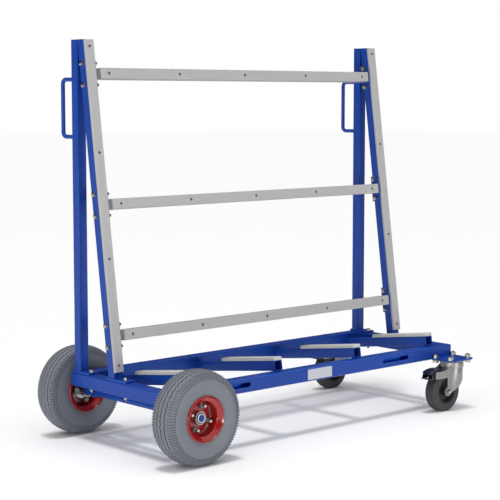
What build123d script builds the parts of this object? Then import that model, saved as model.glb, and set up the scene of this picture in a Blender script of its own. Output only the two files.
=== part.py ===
from build123d import *
import math
import os

# A slab cart: a low tube base with four tilted support arms, two A-frames that carry three rubber-faced
# bars, two large tyred wheels on a fixed axle at one end and two braked swivel casters at the other.
# Frame: +X runs along the cart to the caster end, +Y is the back with the handles, +Z is up.
# The origin lies on the floor under the middle of the cart. All sizes are in millimetres.

# Base frame
base_length = 1182.0
base_width = 416.0
base_tube = 40.0
base_wall = 2.5
base_corner = 4.0
base_top = 196.0
strap_slot_length = 118.0
strap_slot_height = 13.0
strap_slot_inset = 260.0
strap_slot_drop = 18.0

# Big wheels and their axle
wheel_radius = 130.0
tyre_width = 85.0
wheel_offset = 59.0
axle_radius = 10.0
axle_setback = 69.0

# Casters
kingpin_inset = 43.0
caster_offset = 40.0
caster_radius = 62.5
caster_width = 38.0
caster_trail = 44.0
outrigger_thickness = 4.0
outrigger_rise = 6.0
outrigger_round = 10.0
bolt_pattern_x = 84.0
bolt_pattern_y = 60.0
bolt_edge = 12.0
bolt_edge_out = 16.0

# A-frames
frame_top = 1142.0
post_tube = 30.0
post_wall = 2.0
post_corner = 4.0
post_cap = 3.0
upright_inset = 8.0
lean_angle = 7.86
post_gap = 0.3
foot_thickness = 6.0
foot_bolt_reach = 34.0
foot_margin = 18.0
foot_heel = 5.0

# Rubber-faced strips, bars and their end plates
strip_width = 30.0
strip_thickness = 8.0
strip_edge = 2.0
post_strip_offset = 222.0
post_screw_inset = 19.0
post_screw_count = 4
bar_offset = 323.5
bar_top_drop = 94.3
bar_count = 3
bar_strip_inset = 2.5
bar_screw_inset = 35.0
bar_screw_count = 5
end_plate_thickness = 6.0
end_plate_depth = 36.0
end_plate_height = 82.0
end_plate_corner = 3.0
bar_bolt_spread = 61.0

# Support arms and their pads
arm_tube = 30.0
arm_count = 4
arm_left_inset = 122.0
arm_right_inset = 77.5
arm_front_inset = 23.0
arm_seat = 0.1
pad_length = 232.0
pad_thickness = 10.0
pad_round = 2.5

# Handles
handle_radius = 6.0
handle_depth = 61.0
handle_grip = 162.0
handle_bend = 14.0
handle_top_drop = 111.0

# Fasteners: thread radius of each bolt, and the parts of a bolt as shares of its thread diameter
bar_bolt = 4.0
foot_bolt = 5.0
caster_bolt = 4.0
rim_bolt = 4.0
caster_axle_bolt = 4.0
flats_share = 1.625
head_share = 0.65
nut_share = 0.8
washer_share = 1.0
washer_thickness_share = 0.2
thread_end = 4.0
rim_bolt_tail = 11.0
hole_clearance = 0.5
screw_radius = 4.0
screw_height = 1.2
screw_shank = 2.0
screw_sink = 2.2
screw_room = 0.4

# Big wheels: places along the axle are measured outwards from the wheel's middle plane
tyre_crown_drop = 9.0
tyre_shoulder = 35.0
tyre_belly_radius = 98.0
tyre_bead_radius = 51.0
tyre_bead_half = 33.0
rim_lip_radius = 62.0
rim_lip_half = 40.5
rim_seat_radius = 48.5
rim_web_bend = 43.5
rim_web = 1.8
sheet = 2.5
groove_count = 4
groove_pitch = 14.0
groove_width = 3.2
groove_depth = 3.0
hub_radius = 18.0
hub_wall = 2.5
hub_outer = 19.0
hub_inner = -45.5
hub_flange_thickness = 12.0
hub_lobe_radius = 8.5
rim_bolt_circle = 34.0
rim_bolt_count = 4
rim_bolt_turn = 69.0
bearing_width = 10.0
bearing_recess = 2.0
axle_end = 24.0
axle_chamfer = 2.0
retainer_radius = 13.0
retainer_thickness = 4.5
retainer_round = 1.2
collar_radius = 14.0
collar_thickness = 3.0
carrier_thickness = 8.0
carrier_width = 44.0
carrier_nose = 16.0

# Casters: places are measured from the kingpin, and the wheel trails towards -X
caster_plate_thickness = 2.5
caster_plate_corner = 8.0
race_radius = 36.0
race_height = 12.0
race_edge = 3.0
kingpin_radius = 6.0
kingpin_head = 10.0
kingpin_head_height = 3.5
crown_thickness = 4.0
crown_radius = 35.0
fork_half = 25.0
fork_sheet = 3.0
fork_nose_drop = 35.0
fork_leg_back = 2.5
fork_lobe = 14.0
heel_reach = 103.0
heel_low = 107.0
heel_high = 130.0
heel_round = 6.0
brake_pin_radius = 3.0
brake_pin_reach = 88.0
brake_pin_height = 119.5
tread_inner = 39.0
tread_round = 7.0
core_ring_wall = 5.0
core_hub_radius = 13.0
core_web = 12.0
core_recess = 3.0
sleeve_wall = 2.0
pedal_half = 20.0
pedal_thickness = 3.0
pedal_boss = 5.5
pedal_front_reach = 52.0
pedal_front_height = 133.0
pedal_crest_reach = 95.0
pedal_crest_height = 137.0
pedal_tip_reach = 134.0
pedal_tip_height = 122.0
lip_tip_reach = 141.0
lip_tip_height = 114.5
lip_mid_reach = 122.0
lip_mid_height = 110.0
lip_root_reach = 104.0
lip_root_height = 106.0
shoe_angle = 147.0
shoe_gap = 5.5
shoe_height = 7.0
shoe_length = 16.0

# Clearances between pieces that move past each other
running_fit = 0.05
side_gap = 0.5
race_gap = 0.3
overrun = 20.0

# Places worked out from the sizes above
wheel_track = base_width + 2 * wheel_offset
caster_track = base_width + 2 * caster_offset
kingpin_reach = base_length - axle_setback - kingpin_inset
outrigger_half = bolt_pattern_x / 2 + bolt_edge
outrigger_reach = (bolt_pattern_y + caster_track) / 2 + bolt_edge_out
overall_length = wheel_radius + kingpin_reach + outrigger_half
axle_x = -overall_length / 2 + wheel_radius
base_left = axle_x - axle_setback
base_right = base_left + base_length
base_middle = (base_left + base_right) / 2
base_bottom = base_top - base_tube
outrigger_top = base_bottom + outrigger_rise
front_y = -base_width / 2
back_y = base_width / 2
kingpin_x = axle_x + kingpin_reach
frame_spacing = base_length - base_tube
left_frame_x = base_middle - frame_spacing / 2
right_frame_x = base_middle + frame_spacing / 2
strap_slot_spread = base_length - 2 * strap_slot_inset
arm_pitch = (base_length - arm_left_inset - arm_right_inset) / (arm_count - 1)
foot_top = base_top + foot_thickness
upright_front = back_y - upright_inset - post_tube
lean_cos = math.cos(math.radians(lean_angle))
lean_tan = math.tan(math.radians(lean_angle))
lean_depth = strip_thickness + post_tube
lean_origin = upright_front - post_gap - lean_depth / lean_cos - frame_top * lean_tan
post_centre = strip_thickness + post_tube / 2
slope_length = frame_top / lean_cos
post_strip_length = slope_length - post_strip_offset
post_screw_pitch = (post_strip_length - 2 * post_screw_inset) / (post_screw_count - 1)
bar_pitch = (slope_length - bar_top_drop - bar_offset) / (bar_count - 1)
bar_span = frame_spacing - post_tube
bar_length = bar_span - 2 * end_plate_thickness
bar_strip_length = bar_length - 2 * bar_strip_inset
bar_screw_pitch = (bar_strip_length - 2 * bar_screw_inset) / (bar_screw_count - 1)
caster_top = outrigger_top - outrigger_thickness
race_top = caster_top - caster_plate_thickness
crown_top = race_top - race_height - race_gap


def export(name, pieces):
    """Write one node's solids, each kept as its own solid, to parts/NODE.step."""
    solids = [solid for piece in pieces for solid in piece.solids()]
    export_step(Compound(children=solids), f"parts/{name}.step")


def square_tube(length, size, wall, corner):
    """A hollow square tube along +Z, standing on the XY plane."""
    outer = RectangleRounded(size, size, corner)
    inner = RectangleRounded(size - 2 * wall, size - 2 * wall, corner - wall / 2)
    return extrude(outer - inner, amount=length)


def hexagon(flats, height):
    """A hexagonal prism on the XY plane with its spanner flats facing +Y and -Y."""
    return extrude(RegularPolygon(flats / 2, 6, major_radius=False), amount=height)


def ring(outer, inner, height):
    """A flat ring standing on the XY plane."""
    return extrude(Circle(outer) - Circle(inner), amount=height)


def bolt(radius, grip, tail):
    """A hexagon bolt along -Z: washer and head above the XY plane, shank through the grip and nut."""
    size = 2 * radius
    washer = ring(washer_share * size, radius, washer_thickness_share * size)
    head = Pos(0, 0, washer_thickness_share * size) * hexagon(flats_share * size, head_share * size)
    length = grip + (2 * washer_thickness_share + nut_share) * size + tail
    top = washer_thickness_share * size
    shank = Pos(0, 0, top) * Cylinder(radius, length, align=(Align.CENTER, Align.CENTER, Align.MAX))
    return washer + head + shank


def nut(radius, grip):
    """The nut and washer on the far side of the grip, as one solid round the shank."""
    size = 2 * radius
    washer = ring(washer_share * size, radius, washer_thickness_share * size)
    height = nut_share * size
    body = hexagon(flats_share * size, height) - Cylinder(radius, 2 * height)
    low = Pos(0, 0, -height) * body
    return Pos(0, 0, -grip - washer_thickness_share * size) * (washer + low)


def drill(shape, radius, places, axis):
    """Cut a round hole right through a shape at each place, along one of the three axes."""
    turn = {"X": Rot(0, 90, 0), "Y": Rot(90, 0, 0), "Z": Rot(0, 0, 0)}[axis]
    for place in places:
        shape -= Pos(*place) * turn * Cylinder(radius + hole_clearance, overall_length)
    return shape


def lean(x, across, along):
    """Place in the lean plane: across is the depth behind the strips' face, along is the way up the slope."""
    return Pos(x, lean_origin, 0) * Rot(-lean_angle, 0, 0) * Pos(0, across, along)


# Base frame
def rail(side):
    """A mitred tube along X: side is -1 for the front rail and +1 for the rear one."""
    tube = Rot(0, 90, 0) * square_tube(base_length, base_tube, base_wall, base_corner)
    tube = Pos(base_left, side * (base_width - base_tube) / 2, base_top - base_tube / 2) * tube
    outside = side * base_width / 2
    inside = outside - side * base_tube
    outline = Polyline(
        (base_left, outside),
        (base_right, outside),
        (base_right - base_tube, inside),
        (base_left + base_tube, inside),
        close=True,
    )
    return tube & extrude(make_face(outline), amount=base_top + overrun)


def strap_slots(tube):
    """Cut the two long strap slots through the front wall of the front rail."""
    for side in (-1, 1):
        slot = extrude(SlotOverall(strap_slot_length, strap_slot_height), amount=base_tube / 2, both=True)
        tube -= Pos(base_middle + side * strap_slot_spread / 2, front_y, base_top - strap_slot_drop) * (
            Rot(90, 0, 0) * slot
        )
    return tube


def end_beam(x, side, frame_x):
    """A mitred tube along Y at an end of the base, drilled for the foot bolts of its A-frame."""
    tube = Rot(-90, 0, 0) * square_tube(base_width, base_tube, base_wall, base_corner)
    tube = Pos(x - side * base_tube / 2, front_y, base_top - base_tube / 2) * tube
    outline = Polyline(
        (x, front_y),
        (x, back_y),
        (x - side * base_tube, back_y - base_tube),
        (x - side * base_tube, front_y + base_tube),
        close=True,
    )
    tube &= extrude(make_face(outline), amount=base_top + overrun)
    return drill(tube, foot_bolt, [(frame_x, y, 0) for y in foot_bolt_places()], "Z")


def outrigger(side):
    """The flat plate welded to a rail's outer face that carries a caster, its outer corners rounded."""
    inner = side * base_width / 2
    outer = side * outrigger_reach
    plate = Pos(kingpin_x, (outer + inner) / 2, outrigger_top - outrigger_thickness / 2) * Box(
        2 * outrigger_half, abs(outer - inner), outrigger_thickness
    )
    corners = plate.edges().filter_by(Axis.Z).sort_by(Axis.Y)
    plate = fillet(corners[:2] if side < 0 else corners[2:], outrigger_round)
    return drill(plate, caster_bolt, caster_bolt_places(side), "Z")


# A-frames
def lean_face(height):
    """Y of the lean post's front face at a height above the floor."""
    return lean_origin + strip_thickness / lean_cos + height * lean_tan


def foot_bolt_places():
    """Y of the two foot bolts of an A-frame: one in front of each post."""
    return (upright_front - foot_bolt_reach, lean_face(foot_top) - foot_bolt_reach)


def foot_plate(x, bolt_y, heel_y):
    """A flat foot from behind its post to in front of its bolt."""
    toe = bolt_y - foot_margin
    plate = Pos(x, (toe + heel_y) / 2, base_top + foot_thickness / 2) * Box(
        base_tube, heel_y - toe, foot_thickness
    )
    plate = fillet(plate.edges().filter_by(Axis.Z), end_plate_corner)
    return drill(plate, foot_bolt, [(x, bolt_y, 0)], "Z")


def feet(x):
    """The two foot plates of an A-frame."""
    rear_bolt, front_bolt = foot_bolt_places()
    upright_back = upright_front + post_tube
    lean_back = lean_face(foot_top) + post_tube / lean_cos
    return [
        foot_plate(x, rear_bolt, upright_back + foot_heel),
        foot_plate(x, front_bolt, lean_back + foot_heel),
    ]


def upright_post(x):
    """The vertical post at the back of an A-frame, with a closed top."""
    height = frame_top - foot_top
    tube = square_tube(height, post_tube, post_wall, post_corner)
    cap = extrude(RectangleRounded(post_tube, post_tube, post_corner), amount=post_cap)
    return Pos(x, upright_front + post_tube / 2, foot_top) * (tube + Pos(0, 0, height - post_cap) * cap)


def lean_post(x):
    """The leaning post at the front of an A-frame, cut level at its foot and top."""
    tube = lean(x, post_centre, 0) * square_tube(2 * frame_top, post_tube, post_wall, post_corner)
    solid = lean(x, post_centre, 0) * extrude(
        RectangleRounded(post_tube, post_tube, post_corner), amount=2 * frame_top
    )
    middle = Pos(x, 0, (foot_top + frame_top) / 2) * Box(overall_length, overall_length, frame_top - foot_top)
    cap = Pos(x, 0, frame_top - post_cap / 2) * Box(overall_length, overall_length, post_cap)
    post = (tube & middle) + (solid & cap)
    for along in bar_bolt_places():
        post -= lean(x, post_centre, along) * Rot(0, 90, 0) * Cylinder(
            bar_bolt + hole_clearance, 2 * post_tube
        )
    return screwed(post, post_screw_places(x))


def handle(x):
    """A U-shaped grab handle of round bar on the back of an upright post."""
    start_y = upright_front + post_tube
    grip_y = start_y + handle_depth
    top = frame_top - handle_top_drop
    low = top - handle_grip
    path = FilletPolyline(
        (x, start_y, top), (x, grip_y, top), (x, grip_y, low), (x, start_y, low), radius=handle_bend
    )
    return sweep(Plane(origin=path @ 0, z_dir=path % 0) * Circle(handle_radius), path=path)


# Rubber-faced strips and bars
def strip(length):
    """A flat rubber-faced strip along +Z with its face at Y zero and its front edges rounded."""
    block = Box(strip_width, strip_thickness, length, align=(Align.CENTER, Align.MIN, Align.MIN))
    front = block.faces().sort_by(Axis.Y)[0]
    return fillet(front.edges(), strip_edge)


def screw():
    """A strip screw along -Z: its head sunk under the XY plane, its shank through strip and tube wall."""
    shank = Cylinder(screw_shank, strip_thickness + post_wall, align=(Align.CENTER, Align.CENTER, Align.MAX))
    head = Pos(0, 0, screw_height - screw_sink) * Cylinder(
        screw_radius, screw_height, align=(Align.CENTER, Align.CENTER, Align.MAX)
    )
    sunk = Box(overrun, overrun, overrun, align=(Align.CENTER, Align.CENTER, Align.MIN))
    return head + (shank - Pos(0, 0, screw_height - screw_sink) * sunk)


def screw_hole():
    """The hole of a strip screw: round the shank, and wide enough for its head near the face."""
    depth = strip_thickness + post_wall
    shank = Cylinder(screw_shank, depth, align=(Align.CENTER, Align.CENTER, Align.MAX))
    head = Cylinder(screw_radius + screw_room, screw_sink, align=(Align.CENTER, Align.CENTER, Align.MAX))
    return shank + head


def strip_screw_place(x, along):
    """Frame of a strip screw, with +Z out of the strip's face."""
    return lean(x, 0, along) * Rot(90, 0, 0)


def screwed(shape, places):
    """Cut the hole of each strip screw, given as X and distance up the slope."""
    for x, along in places:
        shape -= strip_screw_place(x, along) * screw_hole()
    return shape


def post_screw_places(x):
    """The screws of a lean post's strip."""
    first = post_strip_offset + post_screw_inset
    return [(x, first + index * post_screw_pitch) for index in range(post_screw_count)]


def bar_screw_places(along):
    """The screws of a bar's strip."""
    first = base_middle - bar_strip_length / 2 + bar_screw_inset
    return [(first + index * bar_screw_pitch, along) for index in range(bar_screw_count)]


def bar_centres():
    """Distances up the slope of the bars, from the lowest."""
    return [bar_offset + index * bar_pitch for index in range(bar_count)]


def post_strip(x):
    """The rubber-faced strip on the face of a lean post."""
    return screwed(lean(x, 0, post_strip_offset) * strip(post_strip_length), post_screw_places(x))


def bar_bolt_places():
    """Distances up the slope of all bar bolts."""
    return [centre + side * bar_bolt_spread / 2 for centre in bar_centres() for side in (-1, 1)]


def bar_core(along):
    """The square tube of a bar, between its two end plates."""
    tube = Rot(0, 90, 0) * square_tube(bar_length, post_tube, post_wall, post_corner)
    return screwed(lean(base_middle - bar_length / 2, post_centre, along) * tube, bar_screw_places(along))


def bar_strip(along):
    """The rubber-faced strip on the face of a bar."""
    face = Pos(0, 0, -bar_strip_length / 2) * strip(bar_strip_length)
    return screwed(lean(base_middle, 0, along) * Rot(0, 90, 0) * face, bar_screw_places(along))


def end_plate(x, along):
    """The plate between a bar's end and its lean post, bolted above and below the bar."""
    plate = Box(end_plate_thickness, end_plate_depth, end_plate_height)
    plate = fillet(plate.edges().filter_by(Axis.X), end_plate_corner)
    for side in (-1, 1):
        plate -= Pos(0, 0, side * bar_bolt_spread / 2) * Rot(0, 90, 0) * Cylinder(
            bar_bolt + hole_clearance, 2 * end_plate_depth
        )
    return lean(x, post_centre, along) * plate


def end_plates():
    """All end plates: one at each end of each bar."""
    half = bar_span / 2 - end_plate_thickness / 2
    return [end_plate(base_middle + side * half, along) for along in bar_centres() for side in (-1, 1)]


def bar_fasteners():
    """The bolts through each lean post and end plate, with their nuts on the bar side."""
    grip = post_tube + end_plate_thickness
    pieces = []
    for side in (-1, 1):
        outside = base_middle + side * (frame_spacing + post_tube) / 2
        for along in bar_bolt_places():
            place = lean(outside, post_centre, along) * Rot(0, side * 90, 0)
            pieces += [place * bolt(bar_bolt, grip, thread_end), place * nut(bar_bolt, grip)]
    return pieces


def strip_screws():
    """The sunk screws through the strips on both lean posts and on every bar."""
    places = post_screw_places(left_frame_x) + post_screw_places(right_frame_x)
    for along in bar_centres():
        places += bar_screw_places(along)
    return [strip_screw_place(x, along) * screw() for x, along in places]


# Support arms
def arm_place(index):
    """Frame of a support arm: its underside meets the back edge of the front rail's top face."""
    x = base_left + arm_left_inset + index * arm_pitch
    corner_y = front_y + base_tube - base_corner
    corner_z = base_top - base_corner
    return Pos(x, corner_y, corner_z) * Rot(-lean_angle, 0, 0) * Pos(0, 0, base_corner + arm_seat)


def arm_front():
    """Distance from the seat of an arm to its open front end."""
    return (base_tube - base_corner - arm_front_inset) / lean_cos


def support_arm(index):
    """A tilted square tube from the top of the front rail down to the face of the rear rail."""
    length = base_width + base_tube
    tube = Rot(-90, 0, 0) * square_tube(length, arm_tube, post_wall, post_corner)
    arm = arm_place(index) * Pos(0, -arm_front(), arm_tube / 2) * tube
    room = Box(overall_length, base_width, frame_top, align=(Align.CENTER, Align.MAX, Align.CENTER))
    return arm & (Pos(0, back_y - base_tube, 0) * room)


def support_pad(index):
    """The rubber block on the front part of a support arm."""
    pad = Pos(0, -arm_front(), arm_tube) * Box(
        arm_tube, pad_length, pad_thickness, align=(Align.CENTER, Align.MIN, Align.MIN)
    )
    top = pad.faces().sort_by(Axis.Z)[-1]
    return arm_place(index) * fillet(top.edges(), pad_round)


# Big wheels
def wheel_place(side):
    """Frame of a big wheel: +Z points outwards along the axle."""
    return Pos(axle_x, side * wheel_track / 2, wheel_radius) * Rot(-side * 90, 0, 0)


def spun(face):
    """Revolve a section drawn with radius along X and the way outwards along Z."""
    return revolve(face, axis=Axis.Z)


def tyre():
    """The tyre: a rounded crown with round grooves, bulging side walls and a bead between the rim lips."""
    half = tyre_width / 2
    crown = wheel_radius - tyre_crown_drop
    gap = side_gap / 2
    lip = rim_lip_radius + sheet / 2 + gap
    neck = rim_lip_half - sheet - gap
    bead = tyre_bead_half - sheet - gap
    outline = [
        ThreePointArc((crown, 0, -tyre_shoulder), (wheel_radius, 0, 0), (crown, 0, tyre_shoulder)),
        ThreePointArc((crown, 0, tyre_shoulder), (tyre_belly_radius, 0, half), (lip, 0, neck)),
        Line((lip, 0, neck), (tyre_bead_radius, 0, bead)),
        Line((tyre_bead_radius, 0, bead), (tyre_bead_radius, 0, -bead)),
        Line((tyre_bead_radius, 0, -bead), (lip, 0, -neck)),
        ThreePointArc((lip, 0, -neck), (tyre_belly_radius, 0, -half), (crown, 0, -tyre_shoulder)),
    ]
    body = spun(make_face(outline))
    for index in range(groove_count):
        place = (index - (groove_count - 1) / 2) * groove_pitch
        body -= Pos(0, 0, place - groove_width / 2) * ring(
            wheel_radius + overrun, wheel_radius - groove_depth, groove_width
        )
    return body


def rim(side):
    """One pressed half of the rim: a flat web, a bead seat and a rolled lip."""
    path = FilletPolyline(
        (hub_radius + running_fit, rim_web),
        (rim_web_bend, rim_web),
        (rim_seat_radius, rim_web + rim_seat_radius - rim_web_bend),
        (rim_seat_radius, tyre_bead_half - sheet),
        (rim_lip_radius - sheet, rim_lip_half - sheet),
        (rim_lip_radius, rim_lip_half + sheet / 2),
        radius=sheet,
    )
    half = spun(Rot(90, 0, 0) * trace(path, line_width=sheet))
    for place in rim_bolt_places():
        half -= Pos(*place) * Cylinder(rim_bolt + hole_clearance, overall_length)
    return half if side > 0 else mirror(half, about=Plane.XY)


def rim_bolt_places():
    """The bolt circle that joins the two rim halves and the hub flange."""
    turns = [rim_bolt_turn + index * 360 / rim_bolt_count for index in range(rim_bolt_count)]
    return [
        (rim_bolt_circle * math.cos(math.radians(turn)), rim_bolt_circle * math.sin(math.radians(turn)), 0)
        for turn in turns
    ]


def hub():
    """The hub: a tube with bearing seats and a four-lobed flange behind the inner rim half."""
    tube = Pos(0, 0, hub_inner) * ring(hub_radius, hub_radius - hub_wall, hub_outer - hub_inner)
    flange = Circle(hub_radius + hub_lobe_radius)
    for x, y, _ in rim_bolt_places():
        flange += Pos(x, y) * Circle(hub_lobe_radius)
    flange = extrude(flange, amount=-hub_flange_thickness)
    flange -= Cylinder(hub_radius - hub_wall, overall_length)
    for place in rim_bolt_places():
        flange -= Pos(*place) * Cylinder(rim_bolt + hole_clearance, overall_length)
    return tube + Pos(0, 0, -rim_web - sheet / 2) * flange


def bearings():
    """Two bearings between the hub and the axle, one at each end of the hub."""
    race = ring(hub_radius - hub_wall, axle_radius + running_fit, bearing_width)
    return [
        Pos(0, 0, hub_outer - bearing_recess - bearing_width) * race,
        Pos(0, 0, hub_inner + bearing_recess) * race,
    ]


def rim_fasteners():
    """The bolts through the hub flange and both rim halves: heads inboard, nuts and long ends outboard."""
    grip = 2 * rim_web + sheet + hub_flange_thickness
    face = rim_web + sheet / 2 - grip
    pieces = []
    for place in rim_bolt_places():
        at = Pos(*place) * Pos(0, 0, face) * Rot(180, 0, 0)
        pieces += [at * bolt(rim_bolt, grip, rim_bolt_tail), at * nut(rim_bolt, grip)]
    return pieces


def axle():
    """The fixed axle bar across the cart, with a turned collar inside each wheel."""
    length = wheel_track + 2 * axle_end
    bar = Rot(90, 0, 0) * Cylinder(axle_radius, length)
    bar = chamfer(bar.edges().filter_by(GeomType.CIRCLE), axle_chamfer)
    inside = wheel_track / 2 + hub_inner - race_gap
    for side in (-1, 1):
        bar += Pos(0, side * (inside - collar_thickness / 2), 0) * Rot(90, 0, 0) * Cylinder(
            collar_radius, collar_thickness
        )
    return Pos(axle_x, 0, wheel_radius) * bar


def retainer():
    """The ring pressed on an axle end that keeps the wheel on, its rim rounded."""
    body = ring(retainer_radius, axle_radius, retainer_thickness)
    rim_edge = body.edges().filter_by(GeomType.CIRCLE).group_by(SortBy.RADIUS)[-1].sort_by(Axis.Z)[-1]
    return Pos(0, 0, hub_outer - bearing_recess + race_gap) * fillet(rim_edge, retainer_round)


def axle_carrier(side):
    """The plate under a rail that holds the axle, with a rounded nose around it."""
    drop = base_bottom - wheel_radius
    nose = Circle(carrier_nose)
    outline = Polyline(
        (-carrier_width / 2, drop),
        (carrier_width / 2, drop),
        (carrier_nose, 0),
        (-carrier_nose, 0),
        close=True,
    )
    face = make_face(outline) + nose - Circle(axle_radius + running_fit)
    plate = extrude(face, amount=carrier_thickness / 2, both=True)
    y = side * (base_width - base_tube) / 2
    return Pos(axle_x, y, wheel_radius) * Rot(90, 0, 0) * plate


# Casters
def caster_place(side):
    """Frame of a caster: its kingpin on Z, the floor at zero."""
    return Pos(kingpin_x, side * caster_track / 2, 0)


def caster_bolt_places(side):
    """The four mounting bolts of a caster, round its kingpin."""
    y = side * caster_track / 2
    return [
        (kingpin_x + a * bolt_pattern_x / 2, y + b * bolt_pattern_y / 2, 0) for a in (-1, 1) for b in (-1, 1)
    ]


def caster_plate(side):
    """The caster's own top plate, under the outrigger."""
    length = 2 * (outrigger_half - side_gap)
    width = caster_track - base_width - 2 * side_gap
    plate = Pos(kingpin_x, side * caster_track / 2, race_top) * extrude(
        RectangleRounded(length, width, caster_plate_corner), amount=caster_plate_thickness
    )
    return drill(plate, caster_bolt, caster_bolt_places(side), "Z")


def caster_race():
    """The fixed half of the swivel head: a pressed cup, the kingpin and its riveted head."""
    cup = Cylinder(race_radius, race_height, align=(Align.CENTER, Align.CENTER, Align.MAX))
    cup = fillet(cup.edges().sort_by(Axis.Z)[0], race_edge)
    below = race_height + 2 * race_gap + crown_thickness
    pin = Cylinder(kingpin_radius, below, align=(Align.CENTER, Align.CENTER, Align.MAX))
    head = Cylinder(kingpin_head, kingpin_head_height, align=(Align.CENTER, Align.CENTER, Align.MAX))
    return Pos(0, 0, race_top) * (cup + pin + Pos(0, 0, -below) * head)


def fork_outline():
    """Side outline of the fork: a deep nose, a slanted front to the axle lobe, and a heel for the pedal."""
    back = -caster_trail - fork_leg_back
    body = Polyline(
        (crown_radius, crown_top),
        (crown_radius, crown_top - fork_nose_drop),
        (-caster_trail + fork_lobe, caster_radius - fork_lobe / 2),
        (-caster_trail, caster_radius - fork_lobe),
        (back, caster_radius),
        (back, heel_low),
        (-heel_reach, heel_low),
        (-heel_reach, heel_high),
        (back - fork_lobe, heel_high),
        (-crown_radius, crown_top - crown_thickness),
        (-crown_radius, crown_top),
        close=True,
    )
    face = make_face(body) + Pos(-caster_trail, caster_radius) * Circle(fork_lobe)
    heel_corners = [v for v in face.vertices() if v.X < -heel_reach + running_fit]
    return fillet(heel_corners, heel_round)


def fork_plan(inset):
    """Plan of the fork's outside, or of its inside: a round crown that narrows to two flat cheeks."""
    length = heel_reach + overrun
    cheeks = Rectangle(length + inset, 2 * (fork_half - inset))
    return Circle(crown_radius - inset) + Pos(-length / 2, 0) * cheeks


def fork():
    """The pressed fork: round crown with the kingpin hole, two cheeks, and the pin that carries the pedal."""
    side = Rot(90, 0, 0) * extrude(fork_outline(), amount=2 * crown_radius, both=True)
    hollow = extrude(fork_plan(fork_sheet), amount=crown_top - crown_thickness)
    legs = (extrude(fork_plan(0), amount=crown_top) - hollow) & side
    heel_room = Pos(-caster_trail, 0, crown_top) * Box(
        2 * crown_radius, 2 * fork_half - 2 * fork_sheet, 2 * crown_thickness
    )
    legs -= heel_room - Cylinder(crown_radius, 4 * crown_top)
    pin = Rot(90, 0, 0) * Cylinder(brake_pin_radius, 2 * fork_half)
    body = legs + Pos(-brake_pin_reach, 0, brake_pin_height) * pin
    body -= Cylinder(kingpin_radius + running_fit, 2 * frame_top)
    axle_hole = Rot(90, 0, 0) * Cylinder(caster_axle_bolt + running_fit, 4 * fork_half)
    return body - Pos(-caster_trail, 0, caster_radius) * axle_hole


def caster_axle():
    """The axle bolt, its nut and the sleeve that clamps between the fork's cheeks."""
    place = Pos(-caster_trail, -fork_half, caster_radius) * Rot(90, 0, 0)
    length = 2 * (fork_half - fork_sheet)
    sleeve = ring(caster_axle_bolt + sleeve_wall, caster_axle_bolt, length)
    return [
        place * bolt(caster_axle_bolt, 2 * fork_half, thread_end),
        place * nut(caster_axle_bolt, 2 * fork_half),
        place * Pos(0, 0, -fork_half - length / 2) * sleeve,
    ]


def caster_tread():
    """The rounded elastic tread of a caster wheel."""
    tread = ring(caster_radius, tread_inner, caster_width)
    outer = tread.edges().filter_by(GeomType.CIRCLE).group_by(SortBy.RADIUS)[-1]
    tread = Pos(0, 0, -caster_width / 2) * fillet(outer, tread_round)
    return Pos(-caster_trail, 0, caster_radius) * Rot(90, 0, 0) * tread


def caster_core():
    """The wheel centre of a caster: a rim ring, a web and a hub that runs on the sleeve."""
    width = caster_width - 2 * core_recess
    rim_ring = Pos(0, 0, -width / 2) * ring(tread_inner, tread_inner - core_ring_wall, width)
    web = Cylinder(tread_inner - core_ring_wall, core_web)
    hub_body = Cylinder(core_hub_radius, 2 * (fork_half - fork_sheet - side_gap))
    core = rim_ring + web + hub_body
    core -= Cylinder(caster_axle_bolt + sleeve_wall + running_fit, 4 * fork_half)
    return Pos(-caster_trail, 0, caster_radius) * Rot(90, 0, 0) * core


def brake_pedal():
    """The pedal: a curved top plate, a lower lip, two side lugs on the pin and a shoe above the tread."""
    top = FilletPolyline(
        (-pedal_front_reach, pedal_front_height),
        (-pedal_crest_reach, pedal_crest_height),
        (-pedal_tip_reach, pedal_tip_height),
        radius=4 * pedal_thickness,
    )
    lip = FilletPolyline(
        (-lip_tip_reach, lip_tip_height),
        (-lip_mid_reach, lip_mid_height),
        (-lip_root_reach, lip_root_height),
        radius=4 * pedal_thickness,
    )
    plates = trace(top, line_width=pedal_thickness) + trace(lip, line_width=pedal_thickness)
    lug = make_face(
        Polyline(
            (-brake_pin_reach + pedal_boss, brake_pin_height),
            (-brake_pin_reach + pedal_boss, pedal_front_height),
            (-pedal_crest_reach - pedal_boss, pedal_crest_height),
            (-lip_mid_reach + pedal_boss, lip_mid_height + pedal_boss),
            (-lip_mid_reach + pedal_boss, lip_mid_height),
            (-lip_root_reach, lip_root_height),
            (-brake_pin_reach - pedal_boss, brake_pin_height - pedal_boss / 2),
            close=True,
        )
    ) + Pos(-brake_pin_reach, brake_pin_height) * Circle(pedal_boss)
    body = Rot(90, 0, 0) * extrude(plates, amount=pedal_half, both=True)
    for side in (-1, 1):
        middle = side * (pedal_half - pedal_thickness / 2)
        body += Pos(0, middle, 0) * Rot(90, 0, 0) * extrude(lug, amount=pedal_thickness / 2, both=True)
    reach = caster_radius + shoe_gap + shoe_height / 2
    turn = math.radians(shoe_angle)
    centre = (-caster_trail + reach * math.cos(turn), caster_radius + reach * math.sin(turn))
    shoe = Rot(0, 90 - shoe_angle, 0) * Box(shoe_length, 2 * pedal_half, shoe_height)
    body += Pos(centre[0], 0, centre[1]) * shoe
    room = brake_pin_radius + running_fit
    return body - Pos(-brake_pin_reach, 0, brake_pin_height) * Rot(90, 0, 0) * Cylinder(room, 4 * fork_half)


def placed_fasteners(places, radius, grip, tail):
    """Upright bolts with their nuts below, their heads seated at the given places."""
    return [Pos(*at) * piece for at in places for piece in (bolt(radius, grip, tail), nut(radius, grip))]


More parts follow.
